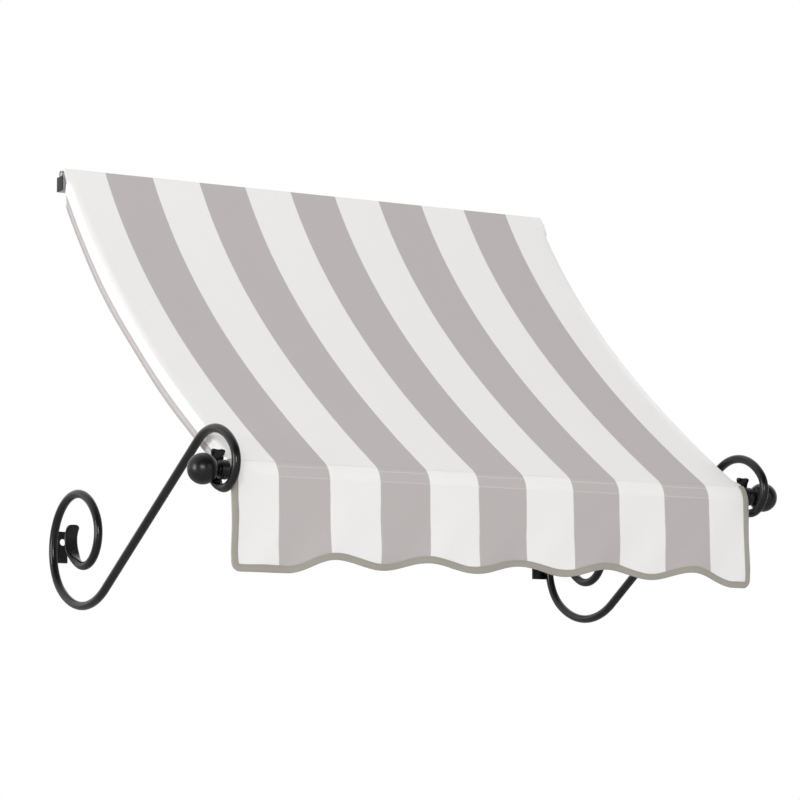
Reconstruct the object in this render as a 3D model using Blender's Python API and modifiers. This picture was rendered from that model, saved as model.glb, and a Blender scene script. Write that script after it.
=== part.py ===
"""Fixed window awning: a striped cloth hangs from a head rail at the wall to a front bar on two scroll arms.

Units are metres. +X runs along the wall, +Y points into the wall, +Z is up, and the wall is the plane Y = 0.
The origin is the middle of the head rail's back face.
"""
import math

import bmesh
import bpy
from mathutils import Matrix, Vector

# Cloth
COVER_WIDTH = 1.012
STRIPE_COUNT = 11
SIDE_FOLD = 0.0095
SIDE_RETURN = 0.027
RETURN_WHITE = 0.0125
RETURN_TAPER = 0.048
FOOT_TAPER = 0.037
NOTCH_SHARE = 0.11
NOTCH_LENGTH = 0.045
CLOTH = 0.001
VALANCE_BEYOND = 0.012
VALANCE_DROP = 0.150
WAVE_PERIOD = 0.180
WAVE_RISE = 0.024
WAVE_DIP = 0.009
WAVE_SHIFT = 0.033
VALANCE_CORNER = 0.013
BINDING_WIDTH = 0.010
BINDING_TAPE = 0.0007
BEND_RADIUS = 0.040
BAR_TOUCH_ANGLE = 27.0
VALANCE_TOP_ANGLE = 49.0
SLEEVE_MARGIN = 0.012
SLEEVE_FLAP = 0.010
SLEEVE_START_ANGLE = 39.0
SLEEVE_END_ANGLE = -88.0

# Slope of the cover, measured from straight down
COVER_TOP_ANGLE = 31.0
COVER_FOOT_ANGLE = 57.0

# Head rail
RAIL_BEYOND = 0.012
RAIL_DEPTH = 0.0245
RAIL_BODY_HEIGHT = 0.0265
RAIL_WALL = 0.0018
CHANNEL_OUTER = 0.0065
CHANNEL_INNER = 0.0046
CHANNEL_LIFT = 0.0050
CHANNEL_OUT = 0.0120
SLOT_WIDTH = 0.0028
SLOT_ANGLE = 100.0
CLOTH_BEND = 0.003
WELT_RADIUS = 0.0042
CAP_FLANGE = 0.0012
CAP_DEPTH = 0.010
RAIL_HOLE_RADIUS = 0.003
RAIL_HOLE_SHARES = (-0.9, -0.3, 0.3, 0.9)

# Front bar, with its ends
BAR_OUT = 0.641
BAR_DROP = 0.571
BAR_RADIUS = 0.0095
BAR_WALL = 0.0015
BAR_SHORT = 0.001
PLUG_DEPTH = 0.025
SPIGOT_RADIUS = 0.0085
SPIGOT_SHOWN = 0.003
HUB_RADIUS = 0.016
HUB_LENGTH = 0.014
HUB_SOCKET = 0.007
HUB_CHAMFER = 0.0015
STUD_RADIUS = 0.004
NECK_RADIUS = 0.009
NECK_LENGTH = 0.0045
BALL_RADIUS = 0.0256

# Scroll arms: radius and turn of each bend, from the front tip to the wall tip
ARM_BEYOND = 0.0105
ARM_SLOPE = 33.3
ROD_RADIUS = 0.0075
FRONT_BENDS = ((0.0130, 65.0), (0.0405, 166.5), (0.0920, 84.0))
WALL_BENDS = ((0.1490, 69.5), (0.0930, 202.5), (0.0545, 199.5), (0.0280, 54.0))
STRAP_LENGTH = 0.0444
STRAP_TIP_RISE = 0.0314
FLAT_RUN = 0.050
TAPER_LENGTH = 0.038
FLAT_THICKNESS = 0.0045
FLAT_WIDTH = 0.022
FISHTAIL_WIDTH = 0.026
FISHTAIL_LENGTH = 0.014
BLADE_WIDTH = 0.024
BLADE_CORNER = 0.008

# Wall plates
PLATE_THICKNESS = 0.005
PLATE_WIDTH = 0.032
PLATE_HEIGHT = 0.056
PLATE_RISE = 0.0125
PLATE_HOLE_RADIUS = 0.006
PLATE_HOLE_IN = 0.007
PLATE_HOLE_UP = 0.009

# Fits
GAP = 0.0003
FINE = 0.0001
LEAST_FOLD_SHARE = 0.04

# Fineness of the curves
LIP_STEPS = 6
SAG_STEPS = 26
WRAP_STEPS = 2
FOLD_STEPS = 4
BEND_STEPS = 6
FALL_STEPS = 2
WAVE_STEPS = 52
CORNER_STEPS = 6
SLEEVE_STEPS = 24
STRAP_STEPS = 8
BLADE_STEPS = 4
ROD_STEPS = 12
BALL_STEPS = 14
TURNED_STEPS = 32
HOLE_STEPS = 16
FORGED_SQUARENESS = 4.0

# What follows from the sizes above
STRIPE = (COVER_WIDTH + 2 * (SIDE_FOLD + RETURN_WHITE)) / STRIPE_COUNT
VALANCE_WIDTH = COVER_WIDTH + 2 * VALANCE_BEYOND
RAIL_LENGTH = COVER_WIDTH + 2 * RAIL_BEYOND
BAR_LENGTH = VALANCE_WIDTH - 2 * BAR_SHORT
ARM_X = VALANCE_WIDTH / 2 + ARM_BEYOND
BODY_TOP = RAIL_BODY_HEIGHT / 2
CHANNEL_CENTRE = Vector((-CHANNEL_OUT, BODY_TOP + CHANNEL_LIFT))
BAR_CENTRE = Vector((-BAR_OUT, -BAR_DROP))
SLEEVE_RADIUS = BAR_RADIUS + GAP + CLOTH / 2
BAR_WRAP_RADIUS = SLEEVE_RADIUS + CLOTH + GAP
BEND_LENGTH = math.radians(VALANCE_TOP_ANGLE) * BEND_RADIUS


def clear_scene():
    for old in list(bpy.data.objects):
        bpy.data.objects.remove(old, do_unlink=True)


def make_collection(name):
    collection = bpy.data.collections.new(name)
    bpy.context.scene.collection.children.link(collection)
    return collection


def make_material(name, colour, roughness, metallic=0.0):
    material = bpy.data.materials.new(name)
    material.use_nodes = True
    shader = material.node_tree.nodes["Principled BSDF"]
    shader.inputs["Base Color"].default_value = (*colour, 1.0)
    shader.inputs["Roughness"].default_value = roughness
    shader.inputs["Metallic"].default_value = metallic
    material.diffuse_color = (*colour, 1.0)
    return material


def add_object(name, data, material):
    item = bpy.data.objects.new(name, data)
    if material is not None:
        data.materials.append(material)
    PARTS.objects.link(item)
    return item


def mesh_from_bmesh(name, work):
    mesh = bpy.data.meshes.new(name)
    bmesh.ops.recalc_face_normals(work, faces=work.faces)
    work.to_mesh(mesh)
    work.free()
    return mesh


def smooth(mesh, angle=35.0):
    mesh.shade_smooth()
    mesh.set_sharp_from_angle(angle=math.radians(angle))


def on_circle(centre, radius, degrees):
    angle = math.radians(degrees)
    return Vector((centre[0] + radius * math.cos(angle), centre[1] + radius * math.sin(angle)))


def arc(centre, radius, start, end, steps):
    """Points on a circle from one angle to the other, in degrees, ends included."""
    return [on_circle(centre, radius, start + (end - start) * i / steps) for i in range(steps + 1)]


def down_and_out(angle):
    """Unit (Y, Z) direction at an angle from straight down, leaning away from the wall."""
    return Vector((-math.sin(math.radians(angle)), -math.cos(math.radians(angle))))


def outward(direction):
    """The cloth's outer side, for cloth that runs from the wall down and out."""
    return Vector((direction[1], -direction[0]))


# Paths in the (Y, Z) plane


def bend_centre():
    """Centre of the cloth's soft bend, which lies on the bar at the touch angle."""
    return on_circle(BAR_CENTRE, BEND_RADIUS - BAR_WRAP_RADIUS, -BAR_TOUCH_ANGLE)


def cover_path():
    """Middle of the cover's cloth: out of the slot, over the channel, down the sag, round its bend at the bar."""
    top = down_and_out(COVER_TOP_ANGLE)
    foot = down_and_out(COVER_FOOT_ANGLE)
    path = [on_circle(CHANNEL_CENTRE, WELT_RADIUS + GAP, SLOT_ANGLE)]
    lip = on_circle(CHANNEL_CENTRE, CHANNEL_OUTER + GAP, SLOT_ANGLE)
    centre = on_circle(lip, CLOTH_BEND, SLOT_ANGLE + 90.0)
    path += arc(centre, CLOTH_BEND, SLOT_ANGLE - 90.0, 180.0 - COVER_TOP_ANGLE, LIP_STEPS)
    start = path[-1]
    end = bend_centre() + outward(foot) * BEND_RADIUS
    chord = end - start
    run = (chord[0] * foot[1] - chord[1] * foot[0]) / (top[0] * foot[1] - top[1] * foot[0])
    knee = start + top * run
    for i in range(1, SAG_STEPS + 1):
        t = i / SAG_STEPS
        path.append(start * (1 - t) ** 2 + knee * (2 * t * (1 - t)) + end * t ** 2)
    wrap = arc(bend_centre(), BEND_RADIUS, 180.0 - COVER_FOOT_ANGLE, 180.0 - VALANCE_TOP_ANGLE, WRAP_STEPS)
    return path + wrap[1:]


def valance_point(x, drop, out):
    """A point of the valance: drop is measured along the cloth from its top edge, out from its middle."""
    centre = bend_centre()
    radius = BEND_RADIUS + out
    if drop < BEND_LENGTH:
        angle = 180.0 - VALANCE_TOP_ANGLE + math.degrees(drop / BEND_RADIUS)
        place = on_circle(centre, radius, angle)
        return Vector((x, place[0], place[1]))
    return Vector((x, centre[0] - radius, centre[1] - (drop - BEND_LENGTH)))


def valance_edge(x):
    """Length of the valance at x: level at both ends, waved between them."""
    longest = BEND_LENGTH + VALANCE_DROP
    first = WAVE_SHIFT - 2 * WAVE_PERIOD
    last = WAVE_SHIFT + 2 * WAVE_PERIOD
    if first <= x <= last:
        phase = math.cos(2 * math.pi * (x - first) / WAVE_PERIOD)
        return longest - WAVE_RISE + (WAVE_RISE - WAVE_DIP) * (1 - phase) / 2
    beyond = first - x if x < first else x - last
    t = min(beyond / (WAVE_PERIOD / 2), 1.0)
    return longest - WAVE_RISE * (1 + math.cos(math.pi * t)) / 2


class BentBar:
    """The centreline of a bar as it is bent, as straight runs and arcs in the (Y, Z) plane."""

    def __init__(self, start, heading):
        self.points = [Vector(start)]
        self.heading = heading

    def run(self, length, steps):
        direction = Vector((math.cos(math.radians(self.heading)), math.sin(math.radians(self.heading))))
        origin = self.points[-1]
        for i in range(1, steps + 1):
            self.points.append(origin + direction * (length * i / steps))

    def bend(self, radius, turn, degrees_per_step=10.0):
        side = 1.0 if turn > 0 else -1.0
        centre = self.points[-1] + on_circle((0, 0), radius, self.heading + 90.0 * side)
        start = self.heading - 90.0 * side
        steps = max(2, round(abs(turn) / degrees_per_step))
        self.points += arc(centre, radius, start, start + turn, steps)[1:]
        self.heading += turn


def arm_points():
    """Centreline of a scroll arm, from the tip behind the bar to the tip in the wall scroll."""
    front_turn = sum(turn for radius, turn in FRONT_BENDS)
    heading = front_turn - ARM_SLOPE
    along = on_circle((0, 0), 1.0, heading)
    to_wall = Vector((-along[1], along[0]))
    reach = HUB_RADIUS + GAP + FLAT_THICKNESS / 2
    tip = BAR_CENTRE + to_wall * reach - along * STRAP_TIP_RISE
    bar = BentBar(tip, heading)
    bar.run(STRAP_LENGTH, STRAP_STEPS)
    for radius, turn in FRONT_BENDS:
        bar.bend(radius, -turn)
    straight_start = len(bar.points)
    for radius, turn in WALL_BENDS:
        bar.bend(radius, turn)
    bar.run(BLADE_CORNER, BLADE_STEPS)
    wall_side = -(PLATE_THICKNESS + GAP + ROD_RADIUS)
    nearest = max(point[0] for point in bar.points[straight_start:])
    straight = (wall_side - nearest) / math.cos(math.radians(ARM_SLOPE))
    shift = on_circle((0, 0), straight, -ARM_SLOPE)
    return bar.points[:straight_start] + [point + shift for point in bar.points[straight_start:]]


# Solids


def section(half_width, half_thickness, power):
    """A closed outline between a round and a squared one, as (X, thickness) pairs."""
    outline = []
    for i in range(ROD_STEPS):
        angle = 2 * math.pi * (i + 0.5) / ROD_STEPS
        c = math.cos(angle)
        s = math.sin(angle)
        across = math.copysign(abs(c) ** (2 / power), c) * half_width
        through = math.copysign(abs(s) ** (2 / power), s) * half_thickness
        outline.append((across, through))
    return outline


def loft(name, rings):
    """A closed solid through a list of rings with the same number of points each."""
    work = bmesh.new()
    loops = [[work.verts.new(point) for point in ring] for ring in rings]
    count = len(rings[0])
    for before, after in zip(loops, loops[1:]):
        for i in range(count):
            j = (i + 1) % count
            work.faces.new((before[i], before[j], after[j], after[i]))
    work.faces.new(loops[0])
    work.faces.new(loops[-1])
    return mesh_from_bmesh(name, work)


def blend(a, b, t):
    t = min(max(t, 0.0), 1.0)
    t = t * t * (3 - 2 * t)
    return a + (b - a) * t


def corner_loss(from_tip):
    """How far the blade's round corner takes in each of its edges, at a distance from its tip."""
    into = min(max(1.0 - from_tip / BLADE_CORNER, 0.0), 1.0)
    return BLADE_CORNER * (1.0 - math.sqrt(1.0 - into ** 2))


def arm_mesh():
    """One round bar, hammered flat at both ends: flared at the bar, a wide blade with round corners at the wall."""
    points = arm_points()
    steps = [(b - a).length for a, b in zip(points, points[1:])]
    total = sum(steps)
    rings = []
    gone = 0.0
    for i, point in enumerate(points):
        before = points[max(i - 1, 0)]
        after = points[min(i + 1, len(points) - 1)]
        tangent = (after - before).normalized()
        normal = Vector((-tangent[1], tangent[0]))
        from_tip = min(gone, total - gone)
        round_share = (from_tip - FLAT_RUN) / TAPER_LENGTH
        if gone < total / 2:
            width = blend(FLAT_WIDTH, 2 * ROD_RADIUS, round_share)
            width += blend(FISHTAIL_WIDTH - FLAT_WIDTH, 0.0, from_tip / FISHTAIL_LENGTH)
        else:
            width = blend(BLADE_WIDTH, 2 * ROD_RADIUS, round_share)
            width -= 2 * corner_loss(from_tip)
        thickness = blend(FLAT_THICKNESS, 2 * ROD_RADIUS, round_share)
        power = blend(FORGED_SQUARENESS, 2.0, round_share)
        ring = []
        for across, through in section(width / 2, thickness / 2, power):
            place = point + normal * through
            ring.append((across, place[0], place[1]))
        rings.append(ring)
        if i < len(steps):
            gone += steps[i]
    mesh = loft("scroll_arm", rings)
    smooth(mesh)
    return mesh


def turned(name, profile, material, x, side):
    """A piece turned about the X axis at the bar's height; its profile is (radius, distance outwards)."""
    work = bmesh.new()
    verts = [work.verts.new((radius, 0.0, height)) for radius, height in profile]
    for a, b in zip(verts, verts[1:]):
        work.edges.new((a, b))
    mesh = bpy.data.meshes.new(name)
    work.to_mesh(mesh)
    work.free()
    item = add_object(name, mesh, material)
    screw = item.modifiers.new("Screw", "SCREW")
    screw.steps = TURNED_STEPS
    screw.render_steps = TURNED_STEPS
    screw.use_merge_vertices = True
    screw.merge_threshold = FINE / 10
    item.rotation_euler = (0.0, side * math.pi / 2, 0.0)
    item.location = (side * x, BAR_CENTRE[0], BAR_CENTRE[1])
    return item


def cylinder_mesh(name, radius, length):
    """A capped cylinder along X, centred."""
    work = bmesh.new()
    bmesh.ops.create_cone(
        work,
        cap_ends=True,
        segments=HOLE_STEPS,
        radius1=radius,
        radius2=radius,
        depth=length,
        matrix=Matrix.Rotation(math.pi / 2, 4, "Y"),
    )
    mesh = mesh_from_bmesh(name, work)
    smooth(mesh)
    return mesh


def box_mesh(name, size):
    work = bmesh.new()
    bmesh.ops.create_cube(work, size=1.0, matrix=Matrix.Diagonal((*size, 1.0)))
    return mesh_from_bmesh(name, work)


def add_cutter(name, mesh, location, turn=(0.0, 0.0, 0.0)):
    cutter = bpy.data.objects.new(name, mesh)
    cutter.location = location
    cutter.rotation_euler = turn
    cutter.hide_render = True
    cutter.display_type = "WIRE"
    CUTTERS.objects.link(cutter)
    return cutter


def boolean(item, other, operation):
    step = item.modifiers.new(operation.title(), "BOOLEAN")
    step.operation = operation
    step.solver = "EXACT"
    step.object = other


def cloth_grid(name, columns, rows, place, shade, materials):
    """A sheet of cloth: place(column, row) gives each point, shade(column, row) each face's material."""
    work = bmesh.new()
    bmesh.ops.create_grid(work, x_segments=columns - 1, y_segments=rows - 1, size=0.5)
    spots = {}
    for vert in work.verts:
        column = round((vert.co.x + 0.5) * (columns - 1))
        row = round((vert.co.y + 0.5) * (rows - 1))
        spots[vert] = (column, row)
    for vert, (column, row) in spots.items():
        vert.co = place(column, row)
    for face in work.faces:
        column = min(spots[vert][0] for vert in face.verts)
        row = min(spots[vert][1] for vert in face.verts)
        face.material_index = shade(column, row)
    mesh = bpy.data.meshes.new(name)
    work.to_mesh(mesh)
    work.free()
    smooth(mesh)
    item = add_object(name, mesh, None)
    for material in materials:
        mesh.materials.append(material)
    shell = item.modifiers.new("Solidify", "SOLIDIFY")
    shell.thickness = CLOTH
    shell.offset = 0.0
    shell.use_even_offset = True
    return item


def stripe_index(distance):
    """0 for a white stripe and 1 for a grey one, at a distance across the cloth from its middle."""
    return (math.floor(distance / STRIPE + 0.5) + 1) % 2


def stripe_edges(half_width):
    """Every place across the flat cloth where a stripe ends, with the cloth's own ends."""
    edges = [(i - STRIPE_COUNT / 2) * STRIPE for i in range(1, STRIPE_COUNT)]
    return [-half_width] + [edge for edge in edges if abs(edge) < half_width] + [half_width]


# The cloth


def add_cover():
    path = cover_path()
    reach = [0.0]
    for a, b in zip(path, path[1:]):
        reach.append(reach[-1] + (b - a).length)
    below_rail = next(r for r, p in zip(reach, path) if p[1] < BODY_TOP / 2)
    at_bar = reach[-1 - WRAP_STEPS]
    half = COVER_WIDTH / 2
    hem = STRIPE * STRIPE_COUNT / 2
    flat = stripe_edges(half)
    fold = [half + SIDE_FOLD * (i + 1) / FOLD_STEPS for i in range(FOLD_STEPS)]
    edge = half + SIDE_FOLD + SIDE_RETURN
    across = [-edge, -hem] + [-f for f in reversed(fold)] + flat + fold + [hem, edge]

    def notched(distance, row):
        """The cloth's corners are cut back where they go into the slot."""
        beyond = abs(distance) - half
        if beyond <= 0:
            return distance
        kept = blend(NOTCH_SHARE, 1.0, reach[row] / NOTCH_LENGTH)
        return math.copysign(half + beyond * kept, distance)

    def section_point(distance, share):
        """Where the cloth lies beside and below the fold, for a fold that is turned down by a share."""
        beyond = abs(distance) - half
        if beyond <= 0:
            return distance, 0.0
        share = max(share, LEAST_FOLD_SHARE)
        turned_down = math.radians(90.0 * share)
        radius = SIDE_FOLD / turned_down
        angle = turned_down * min(beyond, SIDE_FOLD) / SIDE_FOLD
        hanging = max(beyond - SIDE_FOLD, 0.0) * share
        x = half + radius * math.sin(angle) + hanging * math.cos(angle)
        depth = radius * (1 - math.cos(angle)) + hanging * math.sin(angle)
        return math.copysign(x, distance), depth

    def place(column, row):
        here = path[row]
        tangent = (path[min(row + 1, len(path) - 1)] - path[max(row - 1, 0)]).normalized()
        side = outward(tangent)
        share = blend(0.0, 1.0, (reach[row] - below_rail) / RETURN_TAPER)
        share *= blend(1.0, 0.0, (reach[row] - at_bar + FOOT_TAPER + BAR_RADIUS) / FOOT_TAPER)
        x, depth = section_point(notched(across[column], row), share)
        spot = here - side * depth
        return (x, spot[0], spot[1])

    def shade(column, row):
        return stripe_index((across[column] + across[column + 1]) / 2)

    cloth_grid("cover", len(across), len(path), place, shade, (CLOTH_WHITE, CLOTH_GREY))


def valance_stations():
    half = VALANCE_WIDTH / 2
    corner = VALANCE_CORNER
    inner = [(half - corner) * (2 * i / WAVE_STEPS - 1) for i in range(WAVE_STEPS + 1)]
    turns = [math.radians(90.0 * i / CORNER_STEPS) for i in range(1, CORNER_STEPS + 1)]
    rounded = [half - corner + corner * math.sin(turn) for turn in turns]
    return [-x for x in reversed(rounded)] + inner + rounded


def valance_end(x):
    """Length of the valance at x with its bottom corners rounded."""
    half = VALANCE_WIDTH / 2
    beyond = abs(x) - (half - VALANCE_CORNER)
    if beyond <= 0:
        return valance_edge(x)
    lift = VALANCE_CORNER - math.sqrt(max(VALANCE_CORNER ** 2 - beyond ** 2, 0.0))
    return valance_edge(x) - lift


def add_valance():
    stations = valance_stations()

    def place(column, row):
        x = stations[column]
        if row <= BEND_STEPS:
            drop = GAP + (BEND_LENGTH - GAP) * row / BEND_STEPS
        else:
            share = (row - BEND_STEPS) / FALL_STEPS
            drop = BEND_LENGTH + (valance_end(x) - BEND_LENGTH) * share
        return valance_point(x, drop, 0.0)

    def shade(column, row):
        return stripe_index((stations[column] + stations[column + 1]) / 2)

    rows = BEND_STEPS + FALL_STEPS + 1
    cloth_grid("valance", len(stations), rows, place, shade, (CLOTH_WHITE, CLOTH_GREY))


def add_binding():
    """Tape folded over the valance's sides and bottom, as one U section that follows the edge."""
    half = VALANCE_WIDTH / 2
    corner_drop = valance_edge(half) - VALANCE_CORNER
    shares = [i / BEND_STEPS for i in range(BEND_STEPS)]
    down = [(-half, GAP + (BEND_LENGTH - GAP) * share) for share in shares]
    down += [(-half, BEND_LENGTH + (corner_drop - BEND_LENGTH) * share) for share in shares]
    edge = [(x, valance_end(x)) for x in valance_stations()]
    edge = down + edge + [(-x, drop) for x, drop in reversed(down)]
    inside = CLOTH / 2 + GAP
    outside = inside + BINDING_TAPE
    slot = -GAP
    fold = slot - BINDING_TAPE
    profile = (
        (fold, -outside),
        (BINDING_WIDTH, -outside),
        (BINDING_WIDTH, -inside),
        (slot, -inside),
        (slot, inside),
        (BINDING_WIDTH, inside),
        (BINDING_WIDTH, outside),
        (fold, outside),
    )
    rings = []
    for i, (x, drop) in enumerate(edge):
        before = Vector(edge[max(i - 1, 0)])
        after = Vector(edge[min(i + 1, len(edge) - 1)])
        along = (after - before).normalized()
        inwards = Vector((along[1], -along[0]))
        ring = []
        for inset, out in profile:
            spot = Vector((x, drop)) + inwards * inset
            ring.append(valance_point(spot[0], spot[1], out))
        rings.append(ring)
    add_object("valance_binding", loft("valance_binding", rings), BINDING)


def add_bar_sleeve():
    """The pocket behind the cloth that holds the bar, from one stitch row round to the other."""
    half = VALANCE_WIDTH / 2 - SLEEVE_MARGIN
    path = arc(BAR_CENTRE, SLEEVE_RADIUS, 180.0 - SLEEVE_START_ANGLE, -180.0 - SLEEVE_END_ANGLE, SLEEVE_STEPS)
    flap_y = bend_centre()[0] - BEND_RADIUS + CLOTH + 2 * GAP
    last = path[-1]
    heading = on_circle((0, 0), 1.0, -180.0 - SLEEVE_END_ANGLE - 90.0)
    meet = last + heading * ((flap_y - last[0]) / heading[0])
    path.append(meet)
    path.append(meet + Vector((0.0, -SLEEVE_FLAP)))
    columns = (-half, half)

    def place(column, row):
        return (columns[column], path[row][0], path[row][1])

    cloth_grid("bar_sleeve", len(columns), len(path), place, lambda column, row: 0, (CLOTH_WHITE,))


# The head rail


def rail_outline():
    """The extrusion's outside as one loop: the body, and the open channel on its top."""
    base = math.sqrt(CHANNEL_OUTER ** 2 - CHANNEL_LIFT ** 2)
    base_angle = math.degrees(math.atan2(-CHANNEL_LIFT, base))
    outer = math.degrees(math.asin(SLOT_WIDTH / 2 / CHANNEL_OUTER))
    inner = math.degrees(math.asin(SLOT_WIDTH / 2 / CHANNEL_INNER))
    outline = [Vector((0.0, -BODY_TOP)), Vector((0.0, BODY_TOP))]
    outline += arc(CHANNEL_CENTRE, CHANNEL_OUTER, base_angle, SLOT_ANGLE - outer, 14)
    outline += arc(CHANNEL_CENTRE, CHANNEL_INNER, SLOT_ANGLE - inner, SLOT_ANGLE + inner - 360.0, 20)
    outline += arc(CHANNEL_CENTRE, CHANNEL_OUTER, SLOT_ANGLE + outer, 180.0 - base_angle, 4)
    outline += [Vector((-RAIL_DEPTH, BODY_TOP)), Vector((-RAIL_DEPTH, -BODY_TOP))]
    return outline


def rail_hollow():
    y_near = -RAIL_WALL
    y_far = -RAIL_DEPTH + RAIL_WALL
    z_top = BODY_TOP - RAIL_WALL
    corners = ((y_near, -z_top), (y_near, z_top), (y_far, z_top), (y_far, -z_top))
    return [Vector(corner) for corner in corners]


def add_head_rail():
    """The extruded rail: drawn flat, extruded along X, made a mesh, then drilled for its wall screws."""
    curve = bpy.data.curves.new("rail_section", "CURVE")
    curve.dimensions = "2D"
    curve.fill_mode = "BOTH"
    curve.extrude = RAIL_LENGTH / 2
    for outline in (rail_outline(), rail_hollow()):
        spline = curve.splines.new("POLY")
        spline.points.add(len(outline) - 1)
        for point, place in zip(spline.points, outline):
            point.co = (place[0], place[1], 0.0, 1.0)
        spline.use_cyclic_u = True
    drawn = bpy.data.objects.new("rail_section", curve)
    PARTS.objects.link(drawn)
    drawn.matrix_world = Matrix(((0, 0, 1, 0), (1, 0, 0, 0), (0, 1, 0, 0), (0, 0, 0, 1)))
    bpy.context.view_layer.update()
    mesh = bpy.data.meshes.new_from_object(drawn.evaluated_get(bpy.context.evaluated_depsgraph_get()))
    work = bmesh.new()
    work.from_mesh(mesh)
    bmesh.ops.remove_doubles(work, verts=work.verts, dist=FINE / 10)
    bmesh.ops.recalc_face_normals(work, faces=work.faces)
    work.to_mesh(mesh)
    work.free()
    mesh.name = "head_rail"
    rail = add_object("head_rail", mesh, ALUMINIUM)
    rail.matrix_world = drawn.matrix_world.copy()
    bpy.data.objects.remove(drawn, do_unlink=True)
    hole = cylinder_mesh("rail_hole", RAIL_HOLE_RADIUS, 3 * RAIL_DEPTH)
    for i, share in enumerate(RAIL_HOLE_SHARES):
        place = (share * RAIL_LENGTH / 2, -RAIL_DEPTH / 2, 0.0)
        cutter = add_cutter(f"rail_hole_{i + 1}", hole, place, (0.0, 0.0, math.pi / 2))
        boolean(rail, cutter, "DIFFERENCE")


def add_rail_caps():
    """A plug pushed into each end of the rail's hollow, with a flange over the end."""
    height = RAIL_BODY_HEIGHT - 2 * RAIL_WALL - 2 * GAP
    depth = RAIL_DEPTH - 2 * RAIL_WALL - 2 * GAP
    for side, word in SIDES:
        flange_x = side * (RAIL_LENGTH / 2 + GAP + CAP_FLANGE / 2)
        plug_x = side * (RAIL_LENGTH / 2 - CAP_DEPTH / 2)
        flange = box_mesh(f"rail_cap_{word}", (CAP_FLANGE, RAIL_DEPTH, RAIL_BODY_HEIGHT))
        cap = add_object(f"rail_cap_{word}", flange, BLACK_PLASTIC)
        cap.location = (flange_x, -RAIL_DEPTH / 2, 0.0)
        plug = box_mesh("cap_plug", (CAP_DEPTH + CAP_FLANGE + GAP, depth, height))
        join = add_cutter(f"cap_plug_{word}", plug, (plug_x, -RAIL_DEPTH / 2, 0.0))
        boolean(cap, join, "UNION")


def add_welt():
    """The cord in the cover's hem, held in the channel."""
    welt = add_object("welt_cord", cylinder_mesh("welt_cord", WELT_RADIUS, cover_edge_width()), WELT)
    welt.location = (0.0, CHANNEL_CENTRE[0], CHANNEL_CENTRE[1])


def cover_edge_width():
    return COVER_WIDTH + 2 * SIDE_FOLD


# The front bar and its ends


def add_front_bar():
    inner = BAR_RADIUS - BAR_WALL
    half = BAR_LENGTH / 2
    profile = ((BAR_RADIUS, half), (BAR_RADIUS, -half), (inner, -half), (inner, half), (BAR_RADIUS, half))
    turned("front_bar", profile, ALUMINIUM, 0.0, 1.0)


def add_bar_ends():
    """From the bar outwards: a plug with a spigot, the hub on it, and the ball screwed into the hub."""
    inserted = BAR_RADIUS - BAR_WALL - GAP
    end = BAR_LENGTH / 2
    socket = SPIGOT_RADIUS + GAP
    spigot = SPIGOT_SHOWN + HUB_SOCKET - GAP
    plug = ((0.0, spigot), (SPIGOT_RADIUS, spigot), (SPIGOT_RADIUS, GAP), (inserted, GAP))
    plug += ((inserted, -PLUG_DEPTH), (0.0, -PLUG_DEPTH))
    bore = STUD_RADIUS + GAP
    hub = ((bore, HUB_LENGTH), (HUB_RADIUS - HUB_CHAMFER, HUB_LENGTH))
    hub += ((HUB_RADIUS, HUB_LENGTH - HUB_CHAMFER), (HUB_RADIUS, HUB_CHAMFER))
    hub += ((HUB_RADIUS - HUB_CHAMFER, 0.0), (socket, 0.0), (socket, HUB_SOCKET))
    hub += ((bore, HUB_SOCKET), (bore, HUB_LENGTH))
    base = math.degrees(math.asin(NECK_RADIUS / BALL_RADIUS))
    centre = NECK_LENGTH + BALL_RADIUS * math.cos(math.radians(base))
    ball = [(BALL_RADIUS * math.sin(a), centre + BALL_RADIUS * math.cos(a)) for a in ball_angles(base)]
    stud_end = -(HUB_LENGTH - HUB_SOCKET)
    ball += [(NECK_RADIUS, 0.0), (STUD_RADIUS, 0.0), (STUD_RADIUS, stud_end), (0.0, stud_end)]
    hub_x = end + SPIGOT_SHOWN
    for side, word in SIDES:
        turned(f"bar_plug_{word}", plug, ALUMINIUM, end, side)
        turned(f"hub_{word}", hub, BLACK_METAL, hub_x, side)
        turned(f"finial_ball_{word}", ball, BLACK_METAL, hub_x + HUB_LENGTH + GAP, side)


def ball_angles(base):
    """Angles from the ball's pole to where its neck starts."""
    return [math.radians((180.0 - base) * i / BALL_STEPS) for i in range(BALL_STEPS + 1)]


# The arms


def add_arms():
    mesh = arm_mesh()
    mesh.materials.append(BLACK_METAL)
    points = arm_points()
    touch = max(points, key=lambda point: point[0])
    plate_x = ARM_X - PLATE_WIDTH / 2
    plate_z = touch[1] + PLATE_RISE
    drill = cylinder_mesh("plate_hole", PLATE_HOLE_RADIUS, 3 * PLATE_THICKNESS)
    for side, word in SIDES:
        arm = bpy.data.objects.new(f"scroll_arm_{word}", mesh)
        arm.location = (side * ARM_X, 0.0, 0.0)
        PARTS.objects.link(arm)
        size = (PLATE_WIDTH, PLATE_THICKNESS, PLATE_HEIGHT)
        plate = add_object(f"wall_plate_{word}", box_mesh(f"wall_plate_{word}", size), BLACK_METAL)
        plate.location = (side * plate_x, -PLATE_THICKNESS / 2, plate_z)
        hole_place = (side * (plate_x - PLATE_HOLE_IN), -PLATE_THICKNESS / 2, plate_z + PLATE_HOLE_UP)
        cutter = add_cutter(f"plate_hole_{word}", drill, hole_place, (0.0, 0.0, math.pi / 2))
        boolean(plate, cutter, "DIFFERENCE")


SIDES = ((-1.0, "left"), (1.0, "right"))

clear_scene()
PARTS = make_collection("awning")
CUTTERS = make_collection("cutters")

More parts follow.
